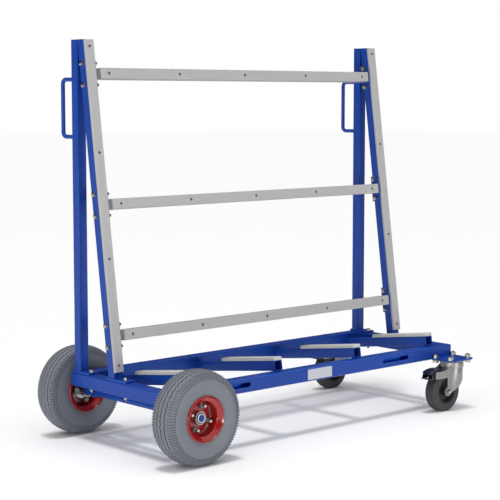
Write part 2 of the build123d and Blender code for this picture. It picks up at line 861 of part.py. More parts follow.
def caster_fasteners():
    """The bolts of both casters, heads below the casters' plates and nuts above the outriggers."""
    grip = outrigger_thickness + caster_plate_thickness
    pieces = []
    for side in (-1, 1):
        for x, y, _ in caster_bolt_places(side):
            at = Pos(x, y, race_top) * Rot(180, 0, 0)
            pieces += [at * bolt(caster_bolt, grip, thread_end), at * nut(caster_bolt, grip)]
    return pieces


def build():
    """Write every node of the cart."""
    os.makedirs("parts", exist_ok=True)
    export("front_rail", [strap_slots(rail(-1))])
    export("rear_rail", [rail(1)])
    export("left_end_beam", [end_beam(base_left, -1, left_frame_x)])
    export("right_end_beam", [end_beam(base_right, 1, right_frame_x)])
    export("outrigger_plates", [outrigger(side) for side in (-1, 1)])
    for index in range(arm_count):
        export(f"support_arm_{index + 1}", [support_arm(index)])
        export(f"support_pad_{index + 1}", [support_pad(index)])
    for name, x in (("left", left_frame_x), ("right", right_frame_x)):
        export(f"{name}_upright_post", [upright_post(x)])
        export(f"{name}_lean_post", [lean_post(x)])
        export(f"{name}_post_strip", [post_strip(x)])
        export(f"{name}_handle", [handle(x)])
    export("foot_plates", feet(left_frame_x) + feet(right_frame_x))
    foot_places = [(x, y, foot_top) for x in (left_frame_x, right_frame_x) for y in foot_bolt_places()]
    export("foot_fasteners", placed_fasteners(foot_places, foot_bolt, foot_thickness + base_tube, thread_end))
    for name, along in zip(("lower", "middle", "top"), bar_centres()):
        export(f"{name}_bar", [bar_core(along)])
        export(f"{name}_bar_strip", [bar_strip(along)])
    export("bar_end_plates", end_plates())
    export("bar_fasteners", bar_fasteners())
    export("strip_screws", strip_screws())
    export("axle", [axle()])
    export("axle_carriers", [axle_carrier(side) for side in (-1, 1)])
    export("axle_retainers", [wheel_place(side) * retainer() for side in (-1, 1)])
    export("caster_top_plates", [caster_plate(side) for side in (-1, 1)])
    export("caster_races", [caster_place(side) * caster_race() for side in (-1, 1)])
    export("caster_fasteners", caster_fasteners())
    for name, side in (("front", -1), ("rear", 1)):
        place = wheel_place(side)
        export(f"{name}_tyre", [place * tyre()])
        export(f"{name}_outer_rim", [place * rim(1)])
        export(f"{name}_inner_rim", [place * rim(-1)])
        export(f"{name}_hub", [place * hub()])
        export(f"{name}_hub_bearings", [place * race for race in bearings()])
        export(f"{name}_rim_fasteners", [place * piece for piece in rim_fasteners()])
        place = caster_place(side)
        export(f"{name}_caster_fork", [place * fork()])
        export(f"{name}_caster_axle", [place * piece for piece in caster_axle()])
        export(f"{name}_caster_tread", [place * caster_tread()])
        export(f"{name}_caster_core", [place * caster_core()])
        export(f"{name}_brake_pedal", [place * brake_pedal()])


build()
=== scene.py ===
import logging
import math
from dataclasses import dataclass, field, replace
from enum import Enum
from typing import Callable, Sequence

import bpy
from mathutils import Matrix, Vector


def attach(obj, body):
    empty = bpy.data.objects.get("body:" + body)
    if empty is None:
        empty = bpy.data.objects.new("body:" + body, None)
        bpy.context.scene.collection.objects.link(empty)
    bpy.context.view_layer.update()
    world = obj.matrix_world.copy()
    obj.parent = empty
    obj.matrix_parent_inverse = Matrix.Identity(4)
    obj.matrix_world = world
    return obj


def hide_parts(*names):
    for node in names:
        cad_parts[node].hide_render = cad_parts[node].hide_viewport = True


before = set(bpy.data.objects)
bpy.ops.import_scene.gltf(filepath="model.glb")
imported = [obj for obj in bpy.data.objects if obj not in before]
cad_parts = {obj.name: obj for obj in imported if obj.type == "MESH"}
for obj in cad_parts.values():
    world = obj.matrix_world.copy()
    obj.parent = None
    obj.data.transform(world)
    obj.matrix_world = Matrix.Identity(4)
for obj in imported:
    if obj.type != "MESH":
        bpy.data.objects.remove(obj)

log = logging.getLogger("slab_cart")

MM = 0.001
NEAR = 0.000001
Pair = tuple[float, float]
Triple = tuple[float, float, float]
Profile = tuple[Pair, ...]
Piece = bpy.types.Object
Socket = bpy.types.NodeSocket


class Slot(Enum):
    """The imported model's material slots that new pieces belong to."""

    BLUE = "blue_coat"
    STRIP = "strip_grey"
    TYRE = "tyre_grey"
    RIM = "rim_red"
    ZINC = "zinc"
    SCREW = "screw_dark"
    PEDAL = "pedal_dark"


class Side(Enum):
    """The loading side of the cart and the side with the handles."""

    FRONT = -1
    REAR = 1

    @property
    def label(self) -> str:
        """The word that begins the names of this side's nodes and bodies."""
        return self.name.lower()


@dataclass(frozen=True)
class Noise:
    """A noise: its features per metre, octaves, how much of it counts, and its squeeze along Z."""

    scale: float
    detail: float
    weight: float = 1.0
    squeeze: float = 1.0


class Recipe:
    """A node tree under construction for one finish."""

    def __init__(self, name: str) -> None:
        """Start an empty tree.

        Args:
            name: The material's name.
        """
        self.material = bpy.data.materials.new(name)
        self.material.use_nodes = True
        self.tree = self.material.node_tree
        self.tree.nodes.clear()
        self.place = self.node("ShaderNodeTexCoord", {}, {}, "Object")

    def node(
        self, kind: str, settings: dict[str, object], inputs: dict[object, object], output: object = 0
    ) -> Socket:
        """Add one node.

        Args:
            kind: The node's type.
            settings: Properties set before its sockets.
            inputs: Values or sockets to link, by input name or index.
            output: The output to hand back.

        Returns:
            The chosen output.
        """
        made = self.tree.nodes.new(kind)
        for key, value in settings.items():
            setattr(made, key, value)
        for key, value in inputs.items():
            if isinstance(value, Socket):
                self.tree.links.new(value, made.inputs[key])
            else:
                made.inputs[key].default_value = value
        return made.outputs[output]

    def maths(self, operation: str, *values: float | Socket) -> Socket:
        """The result of a Math node."""
        return self.node("ShaderNodeMath", {"operation": operation}, dict(enumerate(values)))

    def noise(self, noise: Noise) -> Socket:
        """A noise round one half over the piece's own coordinates."""
        at = self.node("ShaderNodeMapping", {}, {"Vector": self.place, "Scale": (1, 1, noise.squeeze)})
        return self.node("ShaderNodeTexNoise", {}, {"Vector": at, "Scale": noise.scale, "Detail": noise.detail})

    def mixed(self, total: float | Socket, noises: Sequence[Noise]) -> float | Socket:
        """Add noises to a value, each by its weight.

        Args:
            total: The value.
            noises: The noises.

        Returns:
            The sum.
        """
        for noise in noises:
            total = self.maths("MULTIPLY_ADD", self.noise(noise), noise.weight, total)
        return total

    def blend(self, factor: Socket, low: Triple | Socket, high: Triple) -> Socket:
        """A mix of two colours, the first where the factor is zero and the second where it is one."""
        sockets = {0: factor, 6: low if isinstance(low, Socket) else (*low, 1.0), 7: (*high, 1.0)}
        return self.node("ShaderNodeMix", {"data_type": "RGBA"}, sockets, 2)

    def surface(self, inputs: dict[object, object]) -> bpy.types.Material:
        """Close the tree with a Principled shader.

        Args:
            inputs: The shader's values and links by name.

        Returns:
            The finished material.
        """
        shader = self.node("ShaderNodeBsdfPrincipled", {}, inputs)
        output = self.tree.nodes.new("ShaderNodeOutputMaterial")
        self.tree.links.new(shader, output.inputs["Surface"])
        return self.material


@dataclass(frozen=True)
class Finish:
    """A finish between two tones, plain here. The others add noises to its tone, roughness and relief."""

    name: str
    deep: Triple
    light: Triple
    roughness: float
    tones: tuple[Noise, ...] = (Noise(0.6, 2.0),)
    gloss: tuple[Noise, ...] = ()
    relief: Noise | None = None
    depth: float = 0.0
    metallic: float = 0.0
    shine: float = 0.1
    coat: float = 0.0
    coat_roughness: float = 0.03

    def colour(self, recipe: Recipe) -> Socket:
        """The colour, in soft clouds between both tones."""
        return recipe.blend(recipe.mixed(0.0, self.tones), self.deep, self.light)

    def build(self) -> bpy.types.Material:
        """Mix the finish's material.

        Returns:
            The material.
        """
        recipe = Recipe(self.name)
        middle = self.roughness - sum(noise.weight for noise in self.gloss) / 2
        inputs = {
            "Base Color": self.colour(recipe),
            "Roughness": recipe.mixed(middle, self.gloss),
            "Metallic": self.metallic,
            "Specular IOR Level": self.shine,
            "Coat Weight": self.coat,
            "Coat Roughness": self.coat_roughness,
        }
        if self.relief:
            bump = {"Strength": 1.0, "Distance": self.depth, "Height": recipe.noise(self.relief)}
            inputs["Normal"] = recipe.node("ShaderNodeBump", {}, bump)
        return recipe.surface(inputs)


@dataclass(frozen=True)
class Coat(Finish):
    """A sprayed coat on steel: an even colour with a faint orange peel."""

    tones: tuple[Noise, ...] = (Noise(9.0, 2.0),)
    gloss: tuple[Noise, ...] = (Noise(40.0, 4.0, 0.12),)
    relief: Noise = Noise(650.0, 2.0)
    depth: float = 0.00004
    shine: float = 0.5
    coat_roughness: float = 0.12


@dataclass(frozen=True)
class PaintedLightTubeCoat(Coat):
    """The coat of a tube along X, with painted light on the tube's inner faces: a much lighter blue there
    stands in for light reaching into its slots. Metres.
    """

    middle: Pair = (-0.188, 0.176)
    half: float = 0.019
    # Painted light: the much lighter blue of the tube's inner faces, standing in for light reaching into the
    # strap slots.
    inside: Triple = (0.020, 0.200, 0.860)

    def colour(self, recipe: Recipe) -> Socket:
        """The coat's colour, and a painted light between the walls, standing in for light reaching into the
        slots.

        Args:
            recipe: The recipe under construction.

        Returns:
            The colour.
        """
        # The mask of the tube's inside, where the painted light goes.
        painted_light_mask = []
        for axis, middle in zip("YZ", self.middle):
            place = recipe.node("ShaderNodeSeparateXYZ", {}, {0: recipe.place}, axis)
            painted_light_mask.append(recipe.maths("COMPARE", place, middle, self.half))
        return recipe.blend(recipe.maths("MULTIPLY", *painted_light_mask), super().colour(recipe), self.inside)


@dataclass(frozen=True)
class Plated(Finish):
    """Plated or ground steel with a soft drawn grain and small tint changes."""

    tones: tuple[Noise, ...] = (Noise(120.0, 3.0),)
    gloss: tuple[Noise, ...] = (Noise(120.0, 3.0, 0.18), Noise(1400.0, 2.0, 0.08, 0.2))
    relief: Noise = Noise(1400.0, 2.0, squeeze=0.2)
    depth: float = 0.00002
    metallic: float = 1.0
    shine: float = 0.5


@dataclass(frozen=True)
class Rubber(Finish):
    """Rubber or a rubber-like facing: matt, finely pebbled, with faint dusty clouds."""

    tones: tuple[Noise, ...] = (Noise(14.0, 5.0, 0.7), Noise(220.0, 3.0, 0.3))
    gloss: tuple[Noise, ...] = (Noise(220.0, 3.0, 0.12),)
    relief: Noise = Noise(1500.0, 2.0)
    depth: float = 0.00006
    shine: float = 0.35


BLUE = ((0.004, 0.044, 0.290), (0.005, 0.050, 0.325), 0.36)


@dataclass
class Finishes:
    """Every finish on the cart, mixed once and shared."""

    blue: Coat = Coat("blue_powder_coat", *BLUE, shine=0.3)
    # The front rail's coat, with painted light inside the tube behind its slots.
    rail: PaintedLightTubeCoat = PaintedLightTubeCoat("blue_rail_coat_painted_light_inside", *BLUE, shine=0.3)
    rim: Coat = Coat("red_rim_enamel", (0.27, 0.005, 0.005), (0.32, 0.007, 0.007), 0.2, coat=0.5, depth=0.00002)
    strip: Rubber = Rubber("light_grey_strip", (0.39,) * 3, (0.43,) * 3, 0.6, depth=0.00003)
    bar: Coat = Coat("grey_bar_coat", (0.20, 0.20, 0.205), (0.23, 0.23, 0.235), 0.45)
    pad: Rubber = Rubber("pale_pad_rubber", (0.48, 0.48, 0.46), (0.55, 0.55, 0.53), 0.7)
    tyre: Rubber = Rubber("grey_tyre_rubber", (0.150, 0.162, 0.188), (0.172, 0.185, 0.212), 0.5, depth=0.00005)
    zinc: Plated = Plated("bright_zinc_plate", (0.32, 0.32, 0.315), (0.48, 0.48, 0.47), 0.24)
    pressed: Plated = Plated(
        "zinc_pressed_steel", (0.27, 0.27, 0.265), (0.33, 0.33, 0.325), 0.42, metallic=0.75
    )
    # Painted shade: near-black steel for the hub bearings, standing in for the shade in the hub's recess.
    bearing: Plated = Plated(
        "ground_bearing_steel", (0.05, 0.05, 0.055), (0.09, 0.09, 0.095), 0.4, metallic=0.7
    )
    # Silver ring steel, also used on the rim bolts' ends as a painted highlight.
    ring: Plated = Plated("silver_ring_steel", (0.60, 0.60, 0.59), (0.72, 0.72, 0.71), 0.25)
    # Painted shade: a dark steel tone on the rim bolts, washers and nuts, standing in for their shade and dark
    # reflections in the rim's dish.
    nut: Plated = Plated("dark_rim_nut_steel_painted_shade", (0.16, 0.15, 0.16), (0.26, 0.25, 0.26), 0.3, metallic=0.9)
    screw: Plated = Plated("dark_screw_steel", (0.10,) * 3, (0.17, 0.17, 0.16), 0.35, metallic=0.85)
    tread: Rubber = Rubber(
        "dark_caster_tread", (0.038, 0.038, 0.042), (0.052, 0.052, 0.057), 0.6, depth=0.00004
    )
    core: Rubber = Rubber("black_caster_core", (0.012, 0.012, 0.013), (0.02, 0.02, 0.021), 0.45, depth=0.00003)
    pedal: Plated = Plated("dark_polished_pedal", (0.02, 0.02, 0.03), (0.04, 0.04, 0.055), 0.16, metallic=0.6)
    plate: Coat = Coat("bare_pale_plate", (0.46, 0.48, 0.53), (0.52, 0.54, 0.59), 0.4)
    floor: Finish = Finish("pale_floor", (0.9751,) * 3, (0.98,) * 3, 0.9)
    made: dict[str, bpy.types.Material] = field(default_factory=dict)

    def of(self, finish: Finish) -> bpy.types.Material:
        """The material of a finish, built on first use.

        Args:
            finish: The finish.

        Returns:
            Its material.
        """
        if finish.name not in self.made:
            self.made[finish.name] = finish.build()
        return self.made[finish.name]


def take(piece: Piece) -> None:
    """Make one piece the only selected and active one.

    Args:
        piece: The piece.
    """
    bpy.ops.object.select_all(action="DESELECT")
    piece.select_set(True)
    bpy.context.view_layer.objects.active = piece


def edit(piece: Piece, work: Callable[[], object]) -> None:
    """Run some operators on all of a piece in edit mode.

    Args:
        piece: The piece to work on.
        work: The operators to run.
    """
    take(piece)
    bpy.ops.object.mode_set(mode="EDIT")
    bpy.ops.mesh.select_all(action="SELECT")
    work()
    bpy.ops.object.mode_set(mode="OBJECT")


def close_up() -> None:
    """Merge what meets, drop what is left loose and turn every face outwards, in edit mode."""
    bpy.ops.mesh.select_all(action="SELECT")
    bpy.ops.mesh.remove_doubles(threshold=NEAR)
    bpy.ops.mesh.delete_loose()
    bpy.ops.mesh.normals_make_consistent(inside=False)


def ring(points: Sequence[Triple]) -> Piece:
    """Start a piece from a circle whose points are moved to their places.

    Args:
        points: One place in millimetres for each point of the circle, in order.

    Returns:
        The new piece.
    """
    bpy.ops.object.select_all(action="DESELECT")
    bpy.ops.mesh.primitive_circle_add(vertices=len(points), radius=MM, fill_type="NOTHING")
    piece = bpy.context.object
    for vertex, point in zip(piece.data.vertices, points):
        vertex.co = Vector(point) * MM
    return piece


def lathe(outline: Sequence[Pair], steps: int) -> Piece:
    """Spin an outline round the Z axis.

    Args:
        outline: Pairs of radius and height in millimetres, a ring or a line from axis to axis.
        steps: Facets round the axis.

    Returns:
        The new piece.
    """
    piece = ring([(radius, 0.0, height) for radius, height in outline])
    edit(piece, lambda: bpy.ops.mesh.spin(steps=steps, angle=2 * math.pi, center=(0, 0, 0), axis=(0, 0, 1)))
    edit(piece, close_up)
    return piece


def stack(rings: Sequence[Sequence[Triple]]) -> Piece:
    """Extrude a ring of points through a row of places and close both ends.

    Args:
        rings: The places of each ring in millimetres, all with as many points.

    Returns:
        The new piece.
    """
    piece = ring(rings[0])
    edit(piece, bpy.ops.mesh.edge_face_add)
    order = {index: index for index in range(len(rings[0]))}
    for spots in rings[1:]:
        take(piece)
        bpy.ops.object.mode_set(mode="EDIT")
        bpy.ops.mesh.extrude_region_move()
        bpy.ops.object.mode_set(mode="OBJECT")
        vertices = piece.data.vertices
        places = {tuple(vertices[index].co): number for index, number in order.items()}
        order = {vertex.index: places[tuple(vertex.co)] for vertex in vertices if vertex.select}
        for index, number in order.items():
            vertices[index].co = Vector(spots[number]) * MM
    edit(piece, close_up)
    return piece


def rounded(wide: float, high: float, radius: float, inset: float, steps: int) -> list[Pair]:
    """The points of a rectangle with round corners round the origin, in millimetres.

    Args:
        wide: Half of its width.
        high: Half of its height.
        radius: The radius of its corners.
        inset: How far the points lie inside it.
        steps: The number of points at each corner.

    Returns:
        The points, anticlockwise.
    """
    points = []
    for quarter, (right, up) in enumerate(((1, 1), (-1, 1), (-1, -1), (1, -1))):
        for step in range(steps):
            angle = math.radians(90.0 * quarter + 90.0 / (steps - 1) * step)
            x = right * (wide - radius) + (radius - inset) * math.cos(angle)
            points.append((x, up * (high - radius) + (radius - inset) * math.sin(angle)))
    return points


def plate(size: Triple, corner: float, edge: float, steps: int = 5) -> Piece:
    """A flat plate on the XY plane with round corners and broken edges.

    Args:
        size: Its width, length and thickness in millimetres.
        corner: The radius of its corners.
        edge: How much is taken off its edges.
        steps: The number of points at each corner.

    Returns:
        The new piece, centred on the Z axis.
    """
    width, length, thick = size
    rings = []
    for inset, height in dict.fromkeys(((edge, 0.0), (0.0, edge), (0.0, thick - edge), (edge, thick))):
        rings.append([(x, y, height) for x, y in rounded(width / 2, length / 2, corner, inset, steps)])
    return stack(rings)


def cut_back(node: str, middle: float, half: float) -> Piece:
    """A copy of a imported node, cut square at both ends along X.

    Args:
        node: The node that is copied.
        middle: X of the middle in millimetres.
        half: Half of the length that is left.

    Returns:
        The new piece.
    """
    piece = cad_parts[node].copy()
    piece.data = piece.data.copy()
    bpy.context.scene.collection.objects.link(piece)

    def cut() -> None:
        """Merge the loose triangles, then take off both ends."""
        close_up()
        for side in (-1, 1):
            place = ((middle + side * half) * MM, 0, 0)
            bpy.ops.mesh.select_all(action="SELECT")
            bpy.ops.mesh.bisect(plane_co=place, plane_no=(side, 0, 0), use_fill=True, clear_outer=True)
        close_up()

    edit(piece, cut)
    return piece


def join(pieces: Sequence[Piece]) -> Piece:
    """Join pieces into one object.

    Args:
        pieces: The pieces, the first of which is kept.

    Returns:
        The joined object.
    """
    take(pieces[0])
    if len(pieces) > 1:
        for piece in pieces:
            piece.select_set(True)
        bpy.ops.object.join()
    return pieces[0]


def copies(piece: Piece, places: Sequence[Matrix]) -> list[Piece]:
    """Copy a piece to each place, each copy with its own mesh.

    Args:
        piece: The piece, modelled at the origin.
        places: The matrices of the copies.

    Returns:
        The copies.
    """
    made = []
    for place in places:
        copy = piece.copy()
        copy.data = piece.data.copy()
        bpy.context.scene.collection.objects.link(copy)
        copy.data.transform(place)
        made.append(copy)
    return made


def shift(x: float, y: float, z: float) -> Matrix:
    """A move in millimetres."""
    return Matrix.Translation(Vector((x, y, z)) * MM)


def turn(degrees: float, axis: str) -> Matrix:
    """A turn about one axis."""
    return Matrix.Rotation(math.radians(degrees), 4, axis)


@dataclass(frozen=True)
class Layout:
    """The places on the cart that several sub-assemblies share, in millimetres."""

    axle_x: float = -497.0
    axle_height: float = 130.0
    wheel_track: float = 534.0
    kingpin_x: float = 573.0
    caster_track: float = 496.0
    base_middle: float = 25.0
    front_y: float = -208.0
    frame_spacing: float = 1142.0
    post_tube: float = 30.0
    post_centre: float = 23.0
    lean_origin: float = -26.31
    lean_angle: float = 7.86
    bars: Triple = (323.5, 691.02, 1058.54)
    post_xs: Pair = (-546.0, 596.0)

    def lean(self, x: float, across: float, along: float) -> Matrix:
        """The place in the lean plane at a depth behind the strips' face and a way up the slope."""
        return shift(x, self.lean_origin, 0.0) @ turn(-self.lean_angle, "X") @ shift(0.0, across, along)

    def wheel(self, side: Side) -> list[Matrix]:
        """The frame of a side's big wheel, +Z outwards along the axle."""
        middle = shift(self.axle_x, side.value * self.wheel_track / 2, self.axle_height)
        return [middle @ turn(-side.value * 90, "X")]

    def caster(self, side: Side) -> list[Matrix]:
        """The frame of a side's caster, its kingpin on Z."""
        return [shift(self.kingpin_x, side.value * self.caster_track / 2, 0.0)]


@dataclass(frozen=True)
class Label:
    """A new piece's name, body, finish and slot, the node it replaces and the sharpest edge shaded smooth."""

    name: str
    body: str
    finish: Finish
    slot: Slot
    node: str = ""
    angle: float = 32.0

    def on(self, side: Side) -> "Label":
        """The same label with the side's word before every name."""
        name, body, node = (word and f"{side.label}_{word}" for word in (self.name, self.body, self.node))
        return replace(self, name=name, body=body, node=node)


@dataclass
class Workshop:
    """Dresses nodes, and finishes, places and books new pieces."""

    finishes: Finishes
    layout: Layout
    seam: float = 0.00001
    edge_steps: int = 2
    edge_angle: float = 35.0

    def dress(self, node: str, finish: Finish, edge: float = 0.0) -> None:
        """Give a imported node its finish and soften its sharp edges.

        Args:
            node: The node's name.
            finish: Its finish.
            edge: Radius of the softened edges in millimetres, zero for none.
        """
        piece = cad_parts[node]
        piece.data.materials.clear()
        piece.data.materials.append(self.finishes.of(finish))
        if edge:
            weld = piece.modifiers.new("closed_seams", "WELD")
            weld.merge_threshold = self.seam
            bevel = piece.modifiers.new("soft_edges", "BEVEL")
            bevel.width = edge * MM
            bevel.segments = self.edge_steps
            bevel.limit_method = "ANGLE"
            bevel.angle_limit = math.radians(self.edge_angle)
            bevel.harden_normals = True
        log.info("dressed %s in %s", node, finish.name)

    def book(self, piece: Piece, label: Label) -> None:
        """Finish a new piece, let it ride on its body and stand for the node it replaces.

        Args:
            piece: The piece, in place.
            label: What it is called and belongs to.
        """
        piece.name = label.name
        piece.data.materials.clear()
        piece.data.materials.append(self.finishes.of(label.finish))
        take(piece)
        bpy.ops.object.shade_smooth_by_angle(angle=math.radians(label.angle))
        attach(piece, label.body)
        if label.node:
            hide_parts(label.node)
        log.info("made %s: %d faces", piece.name, len(piece.data.polygons))

    def spread(self, model: Piece, places: Sequence[Matrix], label: Label, last: bool = True) -> None:
        """Set copies of a model on one body, joined to one piece.

        Args:
            model: The model at the origin.
            places: The matrices of the copies.
            label: What the piece is called and belongs to.
            last: True where the model isn't needed any more and is removed.
        """
        self.book(join(copies(model, places)), label)
        if last:
            bpy.data.objects.remove(model)

    def pair(self, model: Piece, places: Callable[[Side], Sequence[Matrix]], label: Label) -> None:
        """Set copies of a model on both sides, one piece a side, named after it."""
        for side in Side:
            self.spread(model, places(side), label.on(side), last=side is Side.REAR)


@dataclass(frozen=True)
class Fastener:
    """A hexagon bolt with its washers and nut, along -Z from the face its head sits on, in millimetres."""

    grip: float
    thread: float = 4.0
    tail: float = 4.0
    run_in: float = 1.0
    flats_share: float = 1.625
    cap_share: float = 0.95
    turned_share: float = 0.97
    head_share: float = 0.65
    nut_share: float = 0.8
    washer_share: float = 0.2
    washer_edge_share: float = 0.15
    pitch_share: float = 0.156
    crest_share: float = 0.98
    depth_share: float = 0.6
    tip_share: float = 0.4

    @property
    def size(self) -> float:
        """The thread's diameter."""
        return 2 * self.thread

    @property
    def start(self) -> float:
        """The height of the nut's outer face."""
        return -self.grip - (2 * self.washer_share + self.nut_share) * self.size

    def hexagon(self, height: float, both: bool) -> Piece:
        """A hexagon whose corners are turned off at the top, and at the bottom if both is set.

        Args:
            height: How high it is.
            both: True for a nut, False for a head.

        Returns:
            The hexagon, standing on the XY plane.
        """
        flats = self.flats_share * self.thread
        cap = self.cap_share * flats
        rings = ([], [], [], [])
        for degrees in range(0, 360, 15):
            x, y = math.cos(math.radians(degrees)), math.sin(math.radians(degrees))
            reach = flats / math.cos(math.radians(degrees % 60 - 30))
            drop = (reach - self.turned_share * flats) / 2
            levels = ((cap, 0.0), (reach, drop if both else 0.0), (reach, height - drop), (cap, height))
            for points, (radius, level) in zip(rings, levels):
                points.append((radius * x, radius * y, level))
        return stack(rings)

    def washer(self) -> Piece:
        """A flat washer with broken edges, standing on the XY plane.

        Returns:
            The washer.
        """
        hole, size = self.thread, self.size
        thick = self.washer_share * size
        edge = self.washer_edge_share * thick
        outline = [(hole, 0.0), (size - edge, 0.0), (size, edge)]
        outline += [(size, thick - edge), (size - edge, thick), (hole, thick)]
        return lathe(outline, 32)

    def screw_end(self) -> Piece:
        """The threaded end beyond the nut, its tip turned down.

        Returns:
            The end, from just inside the nut to the tip.
        """
        pitch = self.pitch_share * self.size
        crest, core = self.crest_share * self.thread, self.thread - self.depth_share * pitch
        end = self.start - self.tail
        outline = [(0.0, self.start + self.run_in), (crest, self.start + self.run_in)]
        height = self.start + self.run_in / 2
        while height - pitch > end + self.tip_share * pitch:
            outline += [(crest, height), (core, height - pitch / 2)]
            height -= pitch
        return lathe([*outline, (crest, height), (core, end), (0.0, end)], 20)

    def build(self) -> Piece:
        """Model the whole fastener at the origin.

        Returns:
            The fastener: washer and head above the XY plane, the rest below it.
        """
        washer, nut = self.washer_share * self.size, self.nut_share * self.size
        pieces = [self.washer(), self.screw_end()]
        for piece, height in (
            (self.hexagon(self.head_share * self.size, False), washer),
            (self.hexagon(nut, True), -self.grip - washer - nut),
            (self.washer(), -self.grip - washer),
        ):
            piece.data.transform(shift(0.0, 0.0, height))
            pieces.append(piece)
        return join(pieces)


@dataclass
class BigWheels:
    """The two large wheels: zigzag tyres, pressed rims, hubs and their bolts. Sizes in millimetres.

    Each of the grooves is its middle and the place halfway to the next. Their outline and that of the
    bolts' tips are shares of the half width and the depth, and of the tip's radius.
    """

    shop: Workshop
    radius: float = 130.0
    crown_drop: float = 7.5
    shoulder: float = 37.0
    half_width: float = 42.5
    belly: float = 98.0
    lip: Pair = (63.5, 37.75)
    bead: Pair = (51.0, 30.25)
    grooves: Profile = ((7.0, 12.0), (21.0, 25.5))
    groove: Profile = ((-1.0, 0.0), (-0.75, 1.0), (0.75, 1.0), (1.0, 0.0))
    groove_half: float = 1.9
    groove_depth: float = 4.2
    crown_steps: Triple = (29.8, 32.0, 34.5)
    wall_steps: tuple[int, int] = (5, 12)
    wall_gap: float = 0.006
    shoulder_radius: float = 115.0
    waves: int = 50
    wave_steps: int = 8
    wave_reach: float = 2.2
    wave_fade: float = 4.0
    notch_depth: float = 2.9
    notch_wall: float = 0.38
    notch_start: float = 29.0
    notch_lip: float = 0.4
    notch_lean: float = 50.0
    notch_bend: float = 6.0
    notch_end: float = 106.0
    near: float = 0.01
    bolt: Fastener = Fastener(18.1, tail=11.0)
    bolt_circle: float = 34.0
    bolt_turn: float = 69.0
    bolt_seat: float = -15.05
    tip_radius: float = 3.8
    tip: Profile = ((0.0, 2.2), (1.0, 2.2), (1.0, -0.2), (0.8, -0.9), (0.0, -0.9))
    roll_radius: float = 61.2
    roll_half: float = 38.6
    roll: float = 2.4

    def crown(self, height: float) -> float:
        """The radius of the crown at a place across it."""
        bend = (self.shoulder**2 + self.crown_drop**2) / (2 * self.crown_drop)
        return self.radius - bend + math.sqrt(bend**2 - height**2)

    def wall(self) -> list[Pair]:
        """Points down the side wall, on a circle through the shoulder, the belly and the rim lip.

        Returns:
            Pairs of radius and height.
        """
        a = Vector((self.radius - self.crown_drop, self.shoulder))
        b = Vector((self.belly, self.half_width))
        c = Vector(self.lip)
        across, down = a - b, c - b
        cross = 2 * (across.x * down.y - across.y * down.x)
        x = (down.y * across.length_squared - across.y * down.length_squared) / cross
        y = (across.x * down.length_squared - down.x * across.length_squared) / cross
        centre = b + Vector((x, y))
        reach = (a - centre).length
        first = math.atan2(a.y - centre.y, a.x - centre.x)
        edge = math.acos((self.notch_end - centre.x) / reach)
        last = math.atan2(c.y - centre.y, c.x - centre.x)
        upper, lower = self.wall_steps
        turns = [first + (edge - first) * index / upper for index in range(1, upper + 1)]
        edge += self.wall_gap
        turns += [edge + (last - edge) * index / lower for index in range(lower + 1)]
        return [(centre.x + reach * math.cos(angle), centre.y + reach * math.sin(angle)) for angle in turns]

    def half_outline(self) -> list[Pair]:
        """The tyre's outline from the middle of the crown to the bead on the outer side.

        Returns:
            Pairs of radius and height.
        """
        points = []
        for middle, between in self.grooves:
            for offset, depth in self.groove:
                height = middle + offset * self.groove_half
                points.append((self.crown(height) - depth * self.groove_depth, height))
            points.append((self.crown(between), between))
        for height in (self.notch_start, *self.crown_steps, self.shoulder):
            points.append((self.crown(height), height))
        return [*points, *self.wall(), self.bead]

    def tyre(self) -> Piece:
        """Spin the outline, then push the grooves into waves and cut the shoulder into small teeth.

        Returns:
            The tyre at the origin, with +Z outwards.
        """
        half = self.half_outline()
        outline = [(radius, -height) for radius, height in reversed(half)] + [(self.crown(0.0), 0.0)] + half
        piece = lathe(outline, self.wave_steps * self.waves)
        for vertex in piece.data.vertices:
            x, y, z = vertex.co / MM
            radius = math.hypot(x, y)
            if radius < self.notch_end - self.near:
                continue
            turns = math.atan2(y, x) / (2 * math.pi) % 1.0
            if abs(z) > self.notch_start - self.near:
                vertex.co = Vector(self.notch(radius, z, turns)) * MM
            elif radius > self.shoulder_radius:
                fade = min(1.0, (self.notch_start - abs(z)) / self.wave_fade)
                phase = turns * self.waves % 1.0
                vertex.co.z += self.wave_reach * (4.0 * abs(phase - 0.5) - 1.0) * fade * MM
        return piece

    def notch(self, radius: float, height: float, turns: float) -> Triple:
        """The place of a shoulder point: teeth and notches with steep walls, two steps each.

        Args:
            radius: The point's distance from the axle.
            height: Its place across the tyre.
            turns: Its angle in turns.

        Returns:
            Its place once the notch is cut.
        """
        steps = self.wave_steps * self.waves
        step = round(turns * steps)
        angle = 2 * math.pi * (step + (self.notch_wall if step % 2 else -self.notch_wall)) / steps
        if step % 4 > 1 and abs(height) > self.notch_start + self.notch_lip:
            bend = min(1.0, (abs(height) - self.notch_start) / self.notch_bend)
            lean = math.radians(self.notch_lean * bend)
            radius -= self.notch_depth * math.cos(lean)
            height -= math.copysign(self.notch_depth * math.sin(lean), height)
        return radius * math.cos(angle), radius * math.sin(angle), height

    def rolled_lip(self) -> Piece:
        """The rolled edges of both rim halves, round in section.

        Returns:
            Both rings at the origin, as one piece.
        """
        rings = []
        for end in (-1, 1):
            outline = []
            for step in range(16):
                angle = math.pi * step / 8
                across = end * self.roll_half + self.roll * math.sin(angle)
                outline.append((self.roll_radius + self.roll * math.cos(angle), across))
            rings.append(lathe(outline, 96))
        return join(rings)

    def bolt_tip(self) -> Piece:
        """A bright steel end on a rim bolt, a painted highlight, below the XY plane where its fastener starts.
        """
        end = self.bolt.start - self.bolt.tail
        return lathe([(share * self.tip_radius, end + height) for share, height in self.tip], 24)

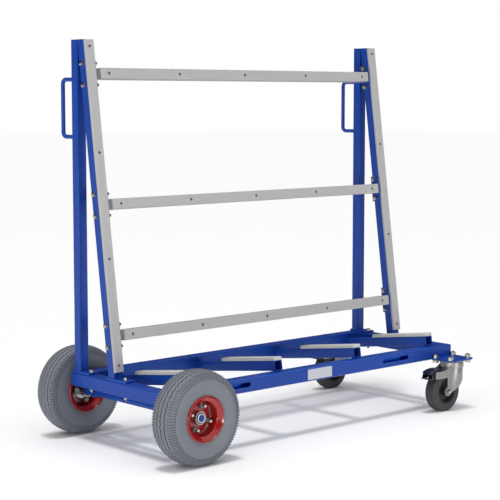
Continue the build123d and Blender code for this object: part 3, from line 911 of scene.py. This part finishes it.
    def bolt_places(self, side: Side) -> list[Matrix]:
        """The bolts of one rim, heads inboard.

        Args:
            side: The wheel's side.

        Returns:
            The bolts' matrices.
        """
        places = []
        for index in range(4):
            angle = math.radians(self.bolt_turn + 90.0 * index)
            x, y = self.bolt_circle * math.cos(angle), self.bolt_circle * math.sin(angle)
            places.append(self.shop.layout.wheel(side)[0] @ shift(x, y, self.bolt_seat) @ turn(180, "X"))
        return places

    def build(self) -> None:
        """Model and dress both wheels."""
        look, wheel = self.shop.finishes, self.shop.layout.wheel
        for model, places, name, finish, slot, node in (
            (self.tyre(), wheel, "zigzag_tyre", look.tyre, Slot.TYRE, "tyre"),
            (self.rolled_lip(), wheel, "rolled_lips", look.rim, Slot.RIM, ""),
            (self.bolt.build(), self.bolt_places, "rim_bolts", look.nut, Slot.ZINC, "rim_fasteners"),
            # Painted highlight: bright steel ends on the rim bolts.
            (self.bolt_tip(), self.bolt_places, "rim_bolt_tip_highlights", look.ring, Slot.ZINC, ""),
        ):
            self.shop.pair(model, places, Label(name, "wheel", finish, slot, node))
        for side in Side:
            for name, finish in (
                ("outer_rim", look.rim),
                ("inner_rim", look.rim),
                ("hub", look.zinc),
                ("hub_bearings", look.bearing),
            ):
                self.shop.dress(f"{side.label}_{name}", finish)


@dataclass
class BaseFrame:
    """The welded base: rails, end beams, arms, outriggers, axle and the bare plate. Sizes in millimetres."""

    shop: Workshop
    plate_middle: Pair = (26.5, 176.0)
    plate_size: Triple = (99.0, 31.0, 0.5)
    plate_corner: float = 3.0

    def bare_plate(self) -> Piece:
        """The thin plate on the front rail, left bare.

        Returns:
            The plate, in place.
        """
        x, z = self.plate_middle
        piece = plate(self.plate_size, self.plate_corner, 0.0, 7)
        piece.data.transform(shift(x, self.shop.layout.front_y, z) @ turn(90, "X"))
        return piece

    def build(self) -> None:
        """Dress the base and add its plate."""
        shop, look = self.shop, self.shop.finishes
        shop.dress("front_rail", look.rail, edge=0.4)
        for node in ("rear_rail", "left_end_beam", "right_end_beam"):
            shop.dress(node, look.blue, edge=0.4)
        shop.dress("outrigger_plates", look.blue, edge=0.5)
        for node in ("axle", "axle_carriers"):
            shop.dress(node, look.blue)
        shop.dress("axle_retainers", look.ring)
        for index in range(1, 5):
            shop.dress(f"support_arm_{index}", look.blue, edge=0.4)
            shop.dress(f"support_pad_{index}", look.pad, edge=0.4)
        shop.book(self.bare_plate(), Label("bare_plate", "frame", look.plate, Slot.STRIP))


@dataclass
class LeanFrames:
    """The two A-frames, their bars, rubber-faced strips, handles and fasteners. Sizes in millimetres.

    A screw's outline is given as shares of its radius and height, each foot as Y of its toe and heel.
    """

    shop: Workshop
    bar_bolt: Fastener = Fastener(36.0)
    bolt_spread: float = 61.0
    foot_bolt: Fastener = Fastener(46.0)
    foot_bolts: Pair = (136.0, -24.35)
    foot_top: float = 202.0
    feet: Profile = ((127.0, 205.0), (-43.5, 45.0))
    foot_width: float = 37.0
    foot_edge: float = 0.6
    strip_first: float = 241.0
    strip_pitch: float = 297.61
    bar_strip_half: float = 541.5
    bar_screw_pitch: float = 256.25
    screw_radius: float = 4.0
    screw_height: float = 1.2
    screw_sink: float = 2.2
    screw_end: Profile = ((0.0, 0.0), (1.0, 0.0), (1.0, 0.3), (0.93, 0.62), (0.75, 0.88), (0.5, 1.0))
    screw_drive: Profile = ((0.42, 1.0), (0.36, 0.1), (0.0, 0.1))
    end_size: Triple = (30.0, 82.0, 6.0)
    plate_corner: float = 3.0
    plate_edge: float = 0.5

    def screw(self) -> Piece:
        """A low domed screw with a sunk drive, its face towards +Z, seated on the XY plane."""
        shares = self.screw_end + self.screw_drive
        return lathe([(a * self.screw_radius, b * self.screw_height) for a, b in shares], 24)

    def screw_places(self) -> list[Matrix]:
        """All strip screws: four on each post and five on each bar.

        Returns:
            The screws' matrices.
        """
        layout = self.shop.layout
        ups = [self.strip_first + index * self.strip_pitch for index in range(4)]
        spots = [(x, along) for x in layout.post_xs for along in ups]
        for along in layout.bars:
            spots += [(layout.base_middle + index * self.bar_screw_pitch, along) for index in range(-2, 3)]
        sunk = turn(90, "X") @ shift(0.0, 0.0, -self.screw_sink)
        return [layout.lean(x, 0.0, along) @ sunk for x, along in spots]

    def bar_bolt_places(self) -> list[Matrix]:
        """The bolts of the bars, heads on the outer sides of the posts.

        Returns:
            The bolts' matrices.
        """
        layout = self.shop.layout
        ups = [along + step * self.bolt_spread for along in layout.bars for step in (-0.5, 0.5)]
        places = []
        for side in (-1, 1):
            outside = layout.base_middle + side * (layout.frame_spacing + layout.post_tube) / 2
            places += [layout.lean(outside, layout.post_centre, up) @ turn(side * 90, "Y") for up in ups]
        return places

    def end_plate_places(self) -> list[Matrix]:
        """The plates on both ends of every bar, against the posts.

        Returns:
            The plates' matrices.
        """
        layout = self.shop.layout
        upright = turn(90, "Y") @ turn(90, "Z")
        inner = (layout.frame_spacing - layout.post_tube) / 2
        starts = (layout.base_middle - inner, layout.base_middle + inner - self.end_size[2])
        return [layout.lean(x, layout.post_centre, up) @ upright for x in starts for up in layout.bars]

    def foot_plates(self) -> Piece:
        """The flat feet of the posts, a little narrower than the beam below.

        Returns:
            All four, in place, as one piece.
        """
        pieces = []
        thick = self.end_size[2]
        for x in self.shop.layout.post_xs:
            for toe, heel in self.feet:
                piece = plate((self.foot_width, heel - toe, thick), self.plate_corner, self.foot_edge)
                piece.data.transform(shift(x, (toe + heel) / 2, self.foot_top - thick))
                pieces.append(piece)
        return join(pieces)

    def build(self) -> None:
        """Model the plates and fasteners and dress the frames."""
        shop, look, layout = self.shop, self.shop.finishes, self.shop.layout
        for side in ("left", "right"):
            shop.dress(f"{side}_upright_post", look.blue, edge=0.4)
            shop.dress(f"{side}_lean_post", look.blue, edge=0.4)
            shop.dress(f"{side}_post_strip", look.strip, edge=0.3)
            shop.dress(f"{side}_handle", look.blue)
        for place in ("lower", "middle", "top"):
            shop.dress(f"{place}_bar", look.bar, edge=0.4)
            strip = f"{place}_bar_strip"
            face = cut_back(strip, layout.base_middle, self.bar_strip_half)
            shop.book(face, Label(f"{place}_bar_face", "frame", look.strip, Slot.STRIP, strip, angle=6.0))
        shop.book(self.foot_plates(), Label("post_feet", "frame", look.blue, Slot.BLUE, "foot_plates"))
        end = plate(self.end_size, self.plate_corner, self.plate_edge)
        bolt, foot = self.bar_bolt.build(), self.foot_bolt.build()
        feet = [shift(x, y, self.foot_top) for x in layout.post_xs for y in self.foot_bolts]
        for model, places, name, finish, slot, node in (
            (end, self.end_plate_places(), "bar_plates", look.blue, Slot.BLUE, "bar_end_plates"),
            (self.screw(), self.screw_places(), "strip_screw_heads", look.screw, Slot.SCREW, "strip_screws"),
            (bolt, self.bar_bolt_places(), "bar_bolts", look.zinc, Slot.ZINC, "bar_fasteners"),
            (foot, feet, "foot_bolts", look.zinc, Slot.ZINC, "foot_fasteners"),
        ):
            shop.spread(model, places, Label(name, "frame", finish, slot, node))


@dataclass
class Pedals:
    """The brake pedals: curved plates with round noses, side lugs and shoe. Millimetres from the kingpin."""

    shop: Workshop
    half: float = 20.0
    tip_half: float = 4.0
    thickness: float = 3.0
    lip_thickness: float = 4.6
    nose: float = 13.0
    edge: float = 1.1
    steps: int = 24
    crowding: float = 1.5
    top: Profile = ((-52.0, 133.0), (-99.0, 141.0), (-123.0, 122.0))
    lip: Profile = ((-103.0, 105.5), (-117.0, 106.5), (-129.0, 114.0))
    lug_back: Profile = ((-82.5, 120.0), (-82.0, 133.0), (-98.0, 134.5), (-110.0, 128.0), (-115.0, 119.0))
    lug_nose: Profile = ((-117.0, 108.5), (-104.0, 104.5), (-96.0, 112.0))
    lug_low: Profile = ((-91.5, 114.6), (-87.0, 114.2), (-83.6, 116.4))
    shoe: Profile = ((-103.0, 104.6), (-95.0, 113.0), (-90.6, 109.0), (-98.6, 100.6))
    shoe_half: float = 11.0

    @staticmethod
    def curve(ends: Profile, share: float) -> tuple[Vector, Vector]:
        """A place on the curve drawn towards its middle point, and its direction there.

        Args:
            ends: Start, pull point and tip.
            share: How far along the curve, from zero to one.

        Returns:
            The place and the direction.
        """
        first, pull, last = (Vector(point) for point in ends)
        place = first * (1 - share) ** 2 + pull * (2 * share * (1 - share)) + last * share**2
        return place, ((pull - first) * (1 - share) + (last - pull) * share).normalized()

    def shell(self, ends: Profile, thick: float) -> Piece:
        """A curved plate with rounded edges whose nose is round in plan.

        Args:
            ends: Start, pull point and tip seen from the side.
            thick: Its thickness.

        Returns:
            The plate round the middle plane of the pedal.
        """
        tip = Vector(ends[-1])
        rings = []
        for index in range(self.steps + 1):
            place, along = self.curve(ends, 1.0 - (1.0 - index / self.steps) ** self.crowding)
            gap = max(0.0, 1.0 - (tip - place).length / self.nose)
            half = max(self.tip_half, self.half * math.sqrt(1.0 - gap**2))
            points = []
            for wide, high in rounded(half, thick / 2, self.edge, 0.0, 4):
                points.append((place.x - along.y * high, wide, place.y + along.x * high))
            rings.append(points)
        return stack(rings)

    @staticmethod
    def slab(outline: Profile, low: float, high: float) -> Piece:
        """A flat piece between two planes across the pedal."""
        return stack([[(x, y, z) for x, z in outline] for y in (low, high)])

    def pedal(self) -> Piece:
        """Model one pedal with its kingpin on the origin.

        Returns:
            The pedal.
        """
        lug = self.lug_back + self.lug_nose + self.lug_low
        inside = self.half - self.thickness
        shoe = (self.shoe, -self.shoe_half, self.shoe_half)
        flats = ((lug, -self.half, -inside), (lug, inside, self.half), shoe)
        shells = [self.shell(self.top, self.thickness), self.shell(self.lip, self.lip_thickness)]
        return join(shells + [self.slab(*flat) for flat in flats])

    def build(self) -> None:
        """Model the pedal once and set a copy on each caster."""
        label = Label("curved_pedal", "brake", self.shop.finishes.pedal, Slot.PEDAL, "brake_pedal")
        self.shop.pair(self.pedal(), self.shop.layout.caster, label)


@dataclass
class Casters:
    """The two braked swivel casters: heads, forks, wheels and their bolts. Sizes in millimetres."""

    shop: Workshop
    mount: Fastener = Fastener(6.5, thread=5.0, tail=1.5)
    pattern: Pair = (84.0, 60.0)
    race_top: float = 155.5
    trail: float = 44.0
    fork_half: float = 25.0
    wheel_height: float = 62.5
    cheek: float = 3.0
    sleeve_radius: float = 6.0
    skirt_out: Profile = ((35.7, 134.0), (37.0, 134.0), (37.4, 134.4), (37.4, 149.0), (36.7, 152.2))
    skirt_in: Profile = ((34.8, 154.6), (33.0, 155.3), (33.0, 154.0), (35.7, 150.0))

    def axle(self) -> Piece:
        """The axle bolt across the fork with the sleeve between its cheeks, its head above the XY plane.

        Returns:
            Both as one piece.
        """
        inner, outer = -self.cheek, self.cheek - 2 * self.fork_half
        outline = [(0.0, inner), (self.sleeve_radius, inner), (self.sleeve_radius, outer), (0.0, outer)]
        return join([Fastener(2 * self.fork_half).build(), lathe(outline, 32)])

    def axle_places(self, side: Side) -> list[Matrix]:
        """The place of a side's caster axle."""
        spot = shift(-self.trail, -self.fork_half, self.wheel_height) @ turn(90, "X")
        return [self.shop.layout.caster(side)[0] @ spot]

    def build(self) -> None:
        """Model the fasteners and dress both casters."""
        shop, look = self.shop, self.shop.finishes
        shop.dress("caster_top_plates", look.pressed, edge=0.3)
        shop.dress("caster_races", look.pressed)
        casters = [place for side in Side for place in shop.layout.caster(side)]
        skirt, skirts = lathe(self.skirt_out + self.skirt_in, 72), "caster_race_skirts"
        shop.spread(skirt, casters, Label(skirts, "frame", look.pressed, Slot.ZINC))
        length, width = self.pattern
        corners = [(a * length, b * width) for a in (-0.5, 0.5) for b in (-0.5, 0.5)]
        bolts = [place @ shift(x, y, self.race_top) @ turn(180, "X") for place in casters for x, y in corners]
        label = Label("caster_bolts", "frame", look.zinc, Slot.ZINC, "caster_fasteners")
        shop.spread(self.mount.build(), bolts, label)
        label = Label("caster_axle_bolt", "swivel", look.zinc, Slot.ZINC, "caster_axle")
        shop.pair(self.axle(), self.axle_places, label)
        for side in Side:
            shop.dress(f"{side.label}_caster_fork", look.pressed, edge=0.5)
            shop.dress(f"{side.label}_caster_tread", look.tread)
            shop.dress(f"{side.label}_caster_core", look.core, edge=0.3)


@dataclass
class Studio:
    """The floor, the soft lights and the camera, in metres and degrees.

    A sun is its place, power and spread, a panel its place and power.
    """

    finishes: Finishes
    floor_half: float = 30.0
    eye: Triple = (-3.0095, -3.264, 0.9797)
    tilt: Triple = (84.15, 0.0, -42.08)
    lens: float = 107.0
    sensor: float = 36.0
    aim: Triple = (0.0, 0.0, 0.4)
    sky: float = 0.03
    suns: tuple[tuple[Triple, float, float], ...] = (
        ((-0.35, -0.15, 3.4), 1.25, 12.0),
        ((-0.1, -0.1, 3.4), 1.86, 120.0),
    )
    panels: tuple[tuple[Triple, float], ...] = (((-4.2, -1.3, 0.5), 56.0), ((0.3, -4.6, 0.5), 58.0))
    panel_size: float = 0.9

    def floor(self) -> None:
        """A plain floor, its edge far outside the view."""
        bpy.ops.object.select_all(action="DESELECT")
        bpy.ops.mesh.primitive_plane_add(size=2 * self.floor_half)
        piece = bpy.context.object
        piece.name = "studio_floor"
        piece.data.materials.append(self.finishes.of(self.finishes.floor))

    def lamps(self) -> None:
        """Two soft suns from above, one much wider, and two weak panels, at the left and in front."""
        lights = []
        for place, power, spread in self.suns:
            sun = bpy.data.lights.new("soft_sun", "SUN")
            sun.energy = power
            sun.angle = math.radians(spread)
            lights.append((sun, place))
        for place, power in self.panels:
            panel = bpy.data.lights.new("soft_panel", "AREA")
            panel.size = self.panel_size
            panel.energy = power
            lights.append((panel, place))
        for data, place in lights:
            lamp = bpy.data.objects.new(data.name, data)
            bpy.context.scene.collection.objects.link(lamp)
            lamp.location = place
            lamp.rotation_euler = (Vector(self.aim) - Vector(place)).to_track_quat("-Z", "Y").to_euler()

    def backdrop(self) -> None:
        """A sky that lights softly and looks plain white to the camera."""
        world = bpy.data.worlds.new("soft_sky")
        world.use_nodes = True
        tree = world.node_tree
        tree.nodes.clear()
        seen = tree.nodes.new("ShaderNodeLightPath")
        level = tree.nodes.new("ShaderNodeMath")
        level.operation = "MULTIPLY_ADD"
        level.inputs[1].default_value = 1.0 - self.sky
        level.inputs[2].default_value = self.sky
        white = tree.nodes.new("ShaderNodeBackground")
        white.inputs["Color"].default_value = (1.0, 1.0, 1.0, 1.0)
        output = tree.nodes.new("ShaderNodeOutputWorld")
        tree.links.new(seen.outputs["Is Camera Ray"], level.inputs[0])
        tree.links.new(level.outputs[0], white.inputs["Strength"])
        tree.links.new(white.outputs[0], output.inputs["Surface"])
        bpy.context.scene.world = world

    def camera(self) -> None:
        """The camera at the photograph's place."""
        data = bpy.data.cameras.new("photo_camera")
        data.lens = self.lens
        data.sensor_width = self.sensor
        camera = bpy.data.objects.new("photo_camera", data)
        bpy.context.scene.collection.objects.link(camera)
        camera.location = self.eye
        camera.rotation_euler = [math.radians(angle) for angle in self.tilt]
        bpy.context.scene.camera = camera

    def build(self) -> None:
        """Set up the studio."""
        self.floor()
        self.camera()
        self.lamps()
        self.backdrop()
        bpy.context.scene.view_settings.view_transform = "Standard"
        log.info("studio ready")


def main() -> None:
    """Build the studio, then each sub-assembly in order."""
    logging.basicConfig(level=logging.INFO, format="%(message)s")
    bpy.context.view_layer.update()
    finishes = Finishes()
    shop = Workshop(finishes, Layout())
    Studio(finishes).build()
    for assembly in (BaseFrame(shop), LeanFrames(shop), BigWheels(shop), Casters(shop), Pedals(shop)):
        assembly.build()
        log.info("built %s", type(assembly).__name__)


if __name__ == "__main__":
    main()
